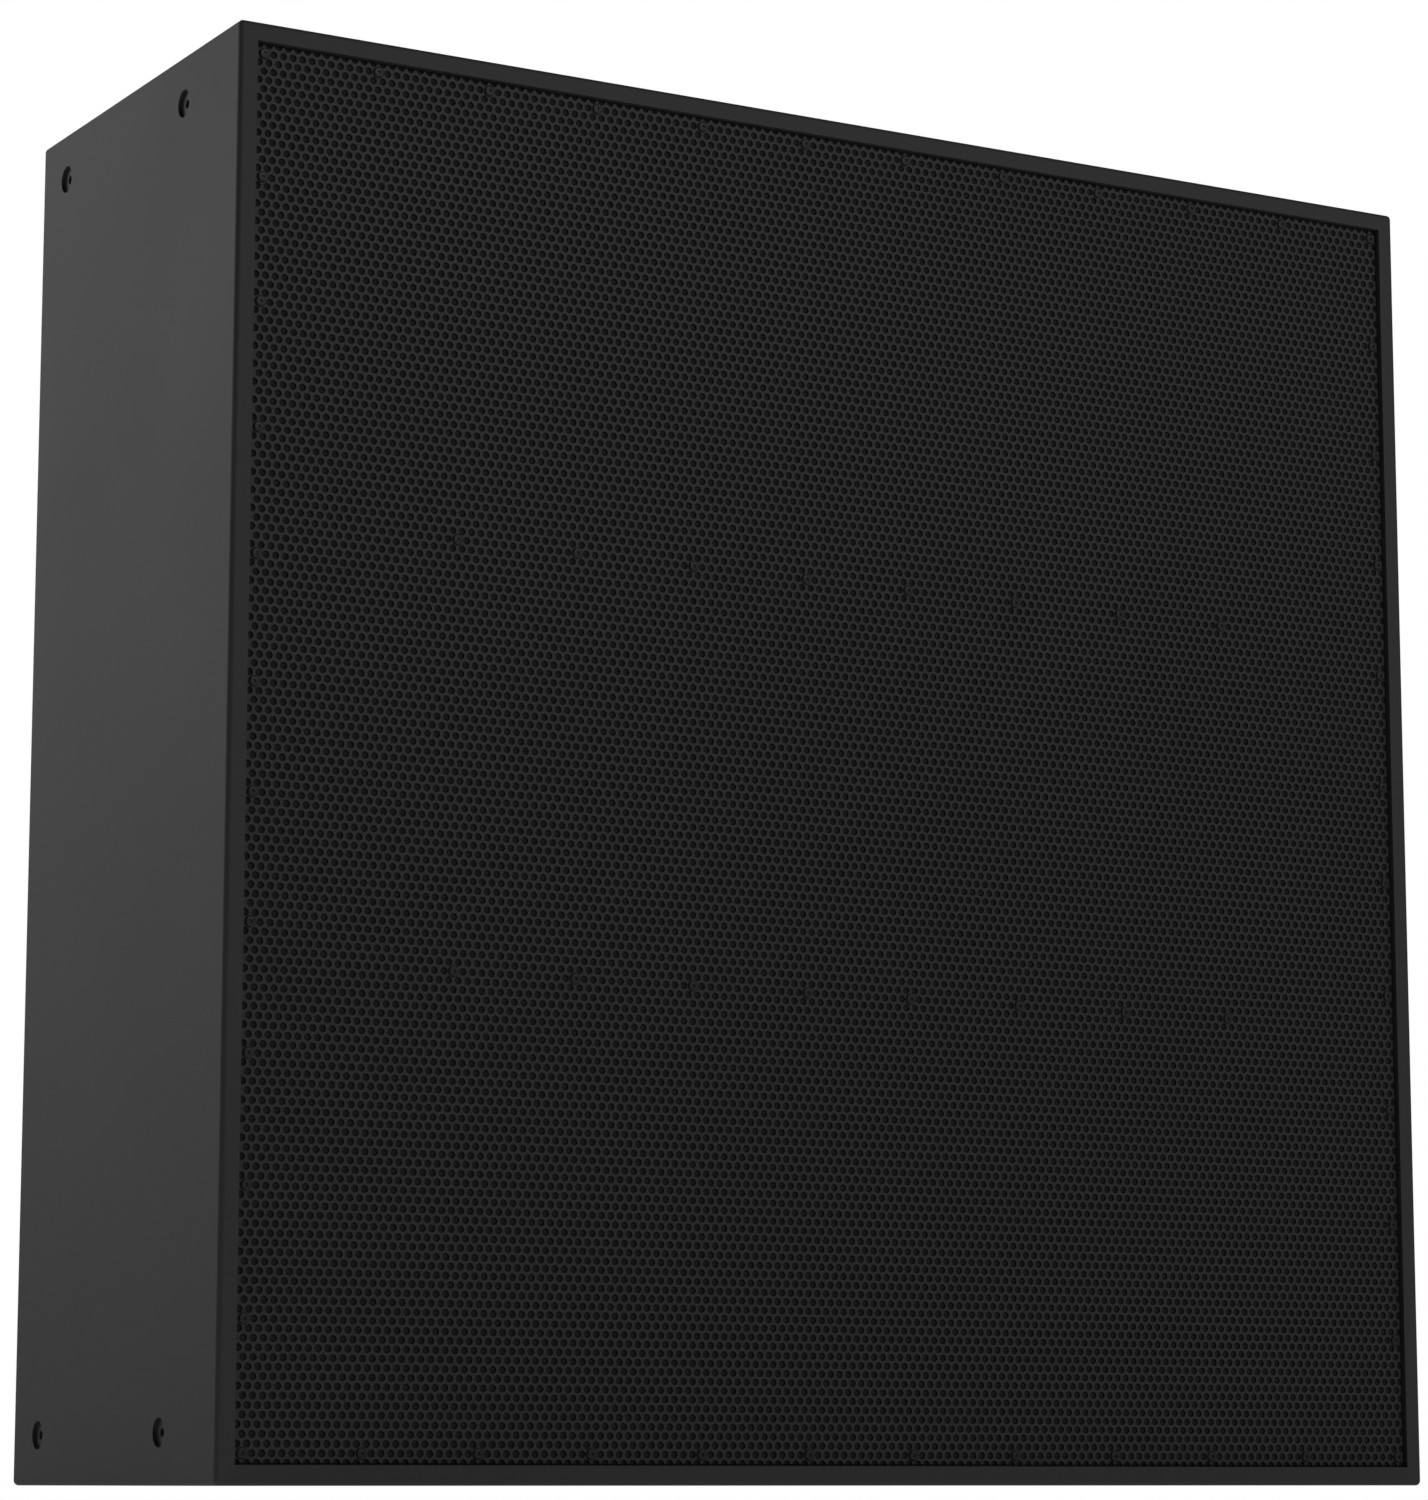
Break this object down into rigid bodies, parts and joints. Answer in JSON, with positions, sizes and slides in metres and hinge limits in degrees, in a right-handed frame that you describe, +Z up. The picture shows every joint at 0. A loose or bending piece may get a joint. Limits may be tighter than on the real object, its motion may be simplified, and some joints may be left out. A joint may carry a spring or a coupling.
{
  "type": "subwoofer",
  "caption": "Flat square floor-standing subwoofer: a dark textured cabinet with a recessed perforated steel grille screwed over woofers and ports, and threaded points in its sides.",
  "frame": {"origin": "middle of the underside, on the floor", "axes": "+Z up, -Y out of the grille, +Y out of the back, +X to the right of someone facing the grille"},
  "size_m": [1.1, 0.4, 1.1],
  "materials": {
    "cabinet_finish": "textured dark grey paint on plywood, satin",
    "blackened_plywood": "plywood painted matt black",
    "bare_plywood": "bare birch plywood",
    "grille_steel": "fine textured powder coat, matt black",
    "acoustic_cloth": "thin black knitted cloth, matt",
    "black_screws": "black oxide, satin",
    "port_plastic": "black moulded plastic, fine grain",
    "plate_steel": "black powder coat, satin",
    "socket_plastic": "black moulded plastic, satin",
    "wadding": "soft polyester wadding",
    "insert_steel": "dark zinc plated, satin",
    "gasket_foam": "closed-cell foam",
    "zinc_steel": "zinc plated",
    "lead_jacket": "black flexible jacket",
    "cast_frame": "black powder-coated casting",
    "surround_rubber": "matt black rubber",
    "cone_pulp": "coated paper pulp, matt",
    "spider_cloth": "resin-treated cotton",
    "coil_copper": "enamelled copper wire on a thin former",
    "ferrite": "dark ceramic ferrite"
  },
  "bodies": {
    "cabinet": {"left_panel": "cabinet_finish", "right_panel": "cabinet_finish", "top_panel": "cabinet_finish", "bottom_panel": "cabinet_finish", "back_panel": "cabinet_finish", "front_baffle": "blackened_plywood", "lower_brace": "bare_plywood", "upper_brace": "bare_plywood", "upright_braces": "bare_plywood", "grille_battens": "blackened_plywood", "grille_sheet": "grille_steel", "grille_cloth": "acoustic_cloth", "grille_screws": "black_screws", "port_tubes": "port_plastic", "input_plate": "plate_steel", "input_sockets": "socket_plastic", "input_plate_screws": "black_screws", "damping_lining": "wadding", "rigging_inserts": "insert_steel", "driver_gaskets": "gasket_foam", "driver_bolts": "black_screws", "tee_nuts": "zinc_steel", "driver_terminals": "socket_plastic", "driver_leads": "lead_jacket", "basket_1": "cast_frame", "surround_1": "surround_rubber", "spider_1": "spider_cloth", "top_plate_1": "zinc_steel", "magnet_1": "ferrite", "yoke_1": "zinc_steel", "basket_2": "cast_frame", "surround_2": "surround_rubber", "spider_2": "spider_cloth", "top_plate_2": "zinc_steel", "magnet_2": "ferrite", "yoke_2": "zinc_steel", "basket_3": "cast_frame", "surround_3": "surround_rubber", "spider_3": "spider_cloth", "top_plate_3": "zinc_steel", "magnet_3": "ferrite", "yoke_3": "zinc_steel", "basket_4": "cast_frame", "surround_4": "surround_rubber", "spider_4": "spider_cloth", "top_plate_4": "zinc_steel", "magnet_4": "ferrite", "yoke_4": "zinc_steel"},
    "cone_assembly_1": {"cone_1": "cone_pulp", "dust_cap_1": "cone_pulp", "voice_coil_1": "coil_copper"},
    "cone_assembly_2": {"cone_2": "cone_pulp", "dust_cap_2": "cone_pulp", "voice_coil_2": "coil_copper"},
    "cone_assembly_3": {"cone_3": "cone_pulp", "dust_cap_3": "cone_pulp", "voice_coil_3": "coil_copper"},
    "cone_assembly_4": {"cone_4": "cone_pulp", "dust_cap_4": "cone_pulp", "voice_coil_4": "coil_copper"}
  },
  "joints": [
    {"name": "cone_travel_1", "type": "slide", "parent": "cabinet", "child": "cone_assembly_1", "axis": [0, -1, 0], "range_m": [-0.01, 0.01], "stiffness_N_per_m": 6000, "deforming": ["surround_1", "spider_1"]},
    {"name": "cone_travel_2", "type": "slide", "parent": "cabinet", "child": "cone_assembly_2", "axis": [0, -1, 0], "range_m": [-0.01, 0.01], "stiffness_N_per_m": 6000, "deforming": ["surround_2", "spider_2"]},
    {"name": "cone_travel_3", "type": "slide", "parent": "cabinet", "child": "cone_assembly_3", "axis": [0, -1, 0], "range_m": [-0.01, 0.01], "stiffness_N_per_m": 6000, "deforming": ["surround_3", "spider_3"]},
    {"name": "cone_travel_4", "type": "slide", "parent": "cabinet", "child": "cone_assembly_4", "axis": [0, -1, 0], "range_m": [-0.01, 0.01], "stiffness_N_per_m": 6000, "deforming": ["surround_4", "spider_4"]}
  ]
}
